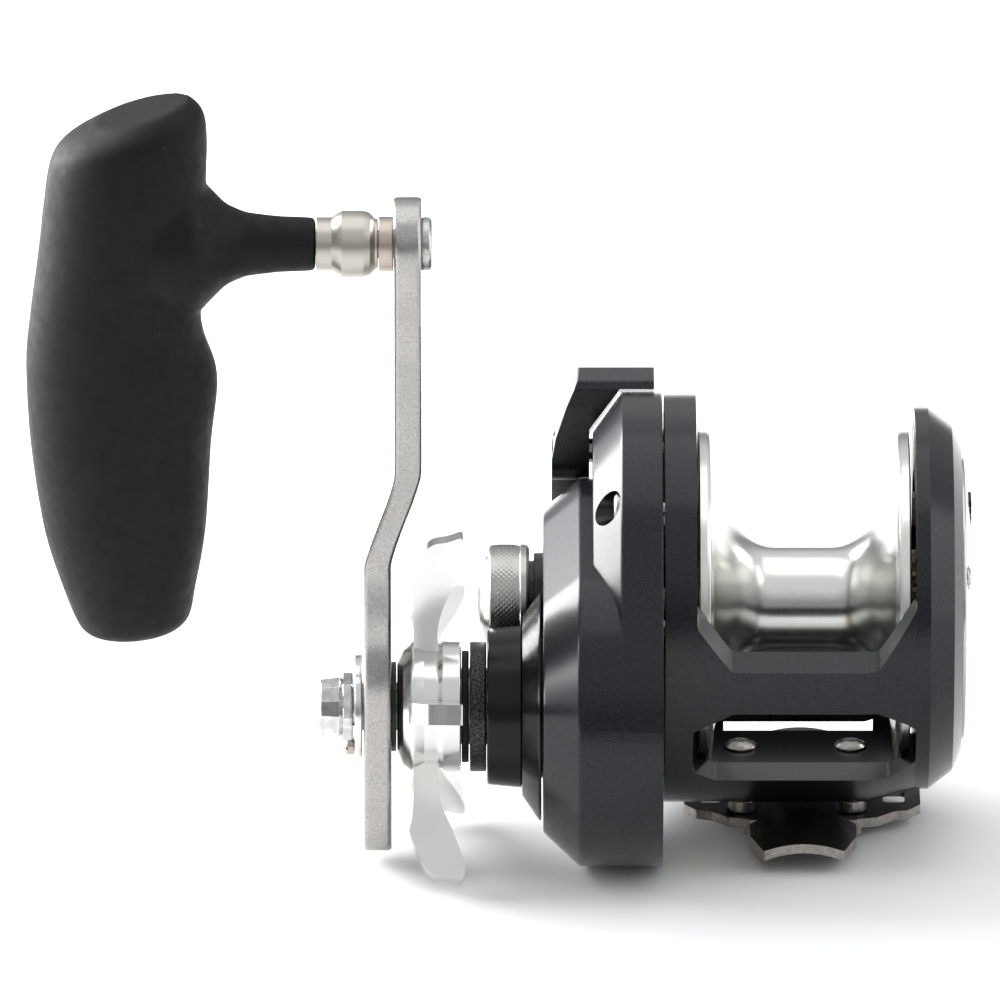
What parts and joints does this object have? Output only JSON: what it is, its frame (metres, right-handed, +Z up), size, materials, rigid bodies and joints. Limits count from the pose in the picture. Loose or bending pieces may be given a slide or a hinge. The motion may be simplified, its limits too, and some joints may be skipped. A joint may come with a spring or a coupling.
{
  "type": "trolling reel",
  "caption": "Small star-drag trolling reel with an open one-piece frame, freespool lever, cranked power handle with a soft T-bar grip, click button and clamp foot.",
  "frame": {"origin": "centre of the reel foot's flat underside, where it sits on the rod seat", "axes": "+X along the spool axis from the crank to the tail, +Y to the back of the reel along the rod, +Z up from the rod"},
  "size_m": [0.1461, 0.0775, 0.1235],
  "materials": {
    "housing": "satin",
    "gloss_black": "gloss",
    "speckled_ring": "satin",
    "soft_black": "matte",
    "polished_silver": "polished",
    "blasted_silver": "bead-blasted",
    "chrome": "mirror",
    "nickel": "satin",
    "steel": "satin",
    "bronze": "satin",
    "gear_brass": "machined",
    "drag_carbon": "matte",
    "foot_black": "satin"
  },
  "bodies": {
    "housing": {"frame": "housing", "reel_foot": "foot_black", "handle_side_plate": "housing", "bridge_plate": "gear_brass", "ratio_ring": "gloss_black", "clutch_housing": "gloss_black", "clutch_cap": "speckled_ring", "clutch_seal": "soft_black", "anti_reverse_bearing": "steel", "gear_post_bearing": "steel", "spool_bearing_left": "steel", "spool_bearing_right": "steel", "tail_cap": "polished_silver", "foot_rivet_1": "nickel", "plate_screw_1": "steel", "foot_rivet_2": "nickel", "plate_screw_2": "steel", "foot_rivet_3": "nickel", "plate_screw_3": "steel", "foot_rivet_4": "nickel", "plate_screw_4": "steel", "bridge_screw_1": "steel", "bridge_screw_2": "steel", "tail_screw_1": "steel", "tail_screw_2": "steel", "tail_screw_3": "steel"},
    "crank": {"gear_sleeve": "steel", "handle_arm": "blasted_silver", "handle_nut": "chrome", "nut_lock_ring": "polished_silver", "nut_lock_screw": "bronze", "arm_washer": "foot_black", "knob_spindle": "steel", "knob_washer": "bronze"},
    "grip": {"knob_grip": "soft_black", "knob_ferrule": "nickel", "knob_bearing_inner": "steel", "knob_bearing_outer": "steel"},
    "drag_push": {"drag_spacer": "steel"},
    "star": {"star_wheel": "polished_silver"},
    "gear": {"drive_gear": "gear_brass", "drag_washer_inner": "drag_carbon", "drag_washer_outer": "drag_carbon", "pressure_plate": "steel"},
    "yoke": {"pinion_yoke": "steel"},
    "pinion": {"pinion": "gear_brass"},
    "spool": {"spool": "polished_silver", "spool_shaft": "steel", "click_ratchet": "gear_brass"},
    "lever": {"clutch_lever": "housing", "lever_cam": "steel", "lever_screw": "steel"},
    "cast_cap": {"cast_control_knob": "polished_silver", "cast_control_shim": "drag_carbon"},
    "clicker": {"click_button": "gloss_black", "click_pawl": "steel"}
  },
  "joints": [
    {"name": "crank_spin", "type": "hinge", "parent": "housing", "child": "crank", "pos_m": [0, -0.0185, 0.0231], "axis": [1, 0, 0], "continuous": true},
    {"name": "grip_spin", "type": "hinge", "parent": "crank", "child": "grip", "pos_m": [0, -0.0185, 0.0984], "axis": [1, 0, 0], "continuous": true},
    {"name": "drag_push_slide", "type": "slide", "parent": "crank", "child": "drag_push", "axis": [1, 0, 0], "range_m": [0, 0.001]},
    {"name": "star_turn", "type": "hinge", "parent": "drag_push", "child": "star", "pos_m": [0, -0.0185, 0.0231], "axis": [1, 0, 0], "range_deg": [0, 360]},
    {"name": "gear_spin", "type": "hinge", "parent": "housing", "child": "gear", "pos_m": [0, -0.0185, 0.0231], "axis": [1, 0, 0], "continuous": true},
    {"name": "lever_swing", "type": "hinge", "parent": "housing", "child": "lever", "pos_m": [0, 0.0135, 0.0535], "axis": [-1, 0, 0], "range_deg": [0, 30]},
    {"name": "yoke_slide", "type": "slide", "parent": "housing", "child": "yoke", "axis": [-1, 0, 0], "range_m": [0, 0.0016]},
    {"name": "spool_spin", "type": "hinge", "parent": "housing", "child": "spool", "pos_m": [0, 0, 0.034], "axis": [1, 0, 0], "continuous": true},
    {"name": "pinion_slide", "type": "slide", "parent": "spool", "child": "pinion", "axis": [-1, 0, 0], "range_m": [0, 0.0016]},
    {"name": "cast_cap_turn", "type": "hinge", "parent": "housing", "child": "cast_cap", "pos_m": [0, 0, 0.034], "axis": [1, 0, 0], "range_deg": [-360, 180]},
    {"name": "click_slide", "type": "slide", "parent": "housing", "child": "clicker", "axis": [0, 0, -1], "range_m": [0, 0.004]}
  ],
  "couplings": [
    {"joint": "drag_push_slide", "follows": "star_turn", "m_per_rad": 0.00015915},
    {"joint": "gear_spin", "follows": "crank_spin", "ratio": 1},
    {"joint": "spool_spin", "follows": "crank_spin", "ratio": -5.1},
    {"joint": "yoke_slide", "follows": "lever_swing", "m_per_rad": 0.0030558},
    {"joint": "pinion_slide", "follows": "lever_swing", "m_per_rad": 0.0030558}
  ]
}
